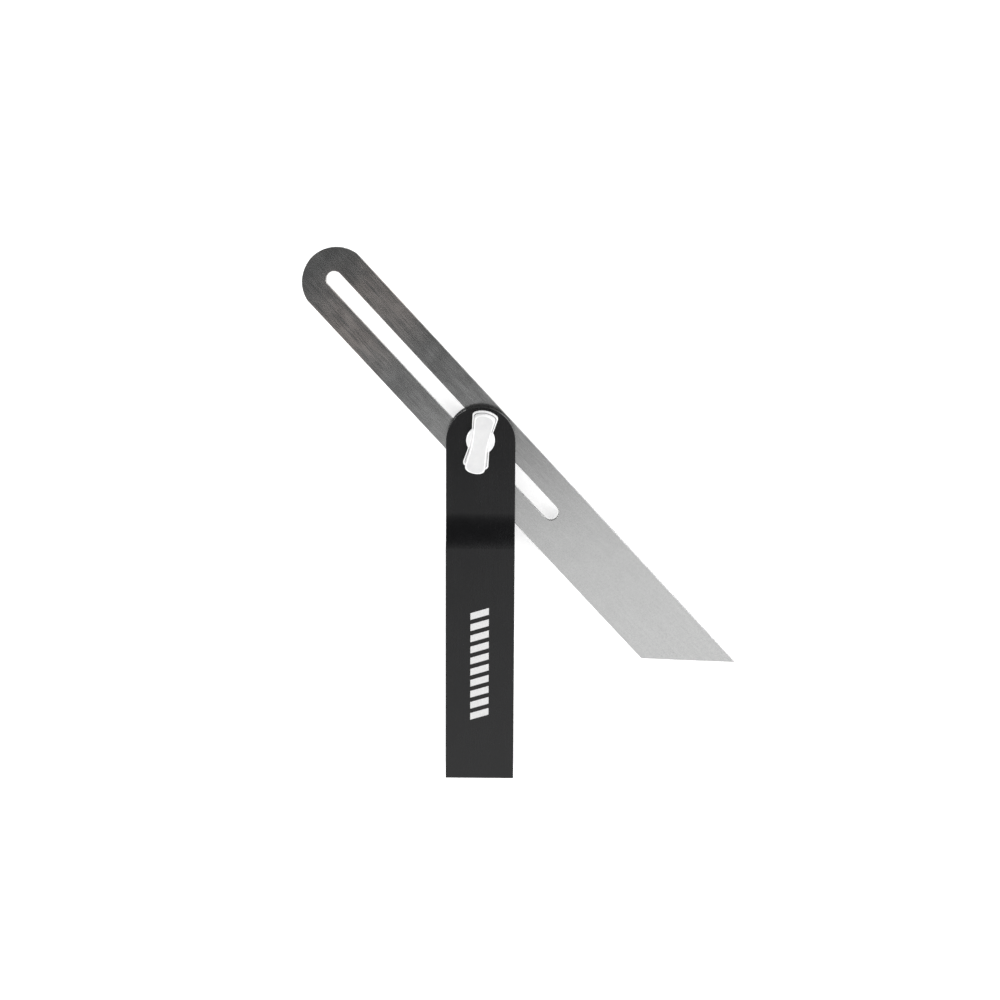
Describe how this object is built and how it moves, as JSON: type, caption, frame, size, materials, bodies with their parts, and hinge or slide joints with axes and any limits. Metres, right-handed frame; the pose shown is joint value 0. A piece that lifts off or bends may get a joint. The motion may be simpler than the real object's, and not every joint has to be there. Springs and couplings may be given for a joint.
{
  "type": "sliding bevel",
  "caption": "Adjustable angle gauge: a slotted steel blade swings and slides in a forked black stock and is clamped by a lever at the pivot.",
  "frame": {"origin": "where the pivot axis meets the rear face, on the flush head of the pivot bolt", "axes": "+Z from the rear face to the lever side, +Y along the stock to the pivot end, +X to the side that the blade's point is on"},
  "size_m": [0.1707, 0.2089, 0.0226],
  "materials": {
    "black_anodised": "black anodised, satin",
    "ground_steel": "stainless, ground along its length",
    "zinc_plate": "bright zinc plate",
    "brass": "turned",
    "nickel_plate": "bright nickel plate on a die casting"
  },
  "bodies": {
    "stock": {"stock": "black_anodised", "pivot_bolt": "zinc_plate"},
    "guide": {"guide_bush": "brass"},
    "blade": {"blade": "ground_steel"},
    "washer": {"lever_washer": "nickel_plate"},
    "lever": {"lever": "nickel_plate", "lever_insert": "brass"}
  },
  "joints": [
    {"name": "blade_swing", "type": "hinge", "parent": "stock", "child": "guide", "pos_m": [0, 0, 0.0065], "axis": [0, 0, 1], "range_deg": [-29, 123]},
    {"name": "blade_slide", "type": "slide", "parent": "guide", "child": "blade", "axis": [0.6814, -0.732, 0], "range_m": [-0.0385, 0.0812]},
    {"name": "lever_lift", "type": "slide", "parent": "stock", "child": "washer", "axis": [0, 0, 1], "range_m": [0, 0.0004]},
    {"name": "lever_turn", "type": "hinge", "parent": "washer", "child": "lever", "pos_m": [0, 0, 0.014], "axis": [0, 0, 1], "range_deg": [0, 180]}
  ],
  "couplings": [
    {"joint": "lever_lift", "follows": "lever_turn", "m_per_rad": 0.000127}
  ]
}
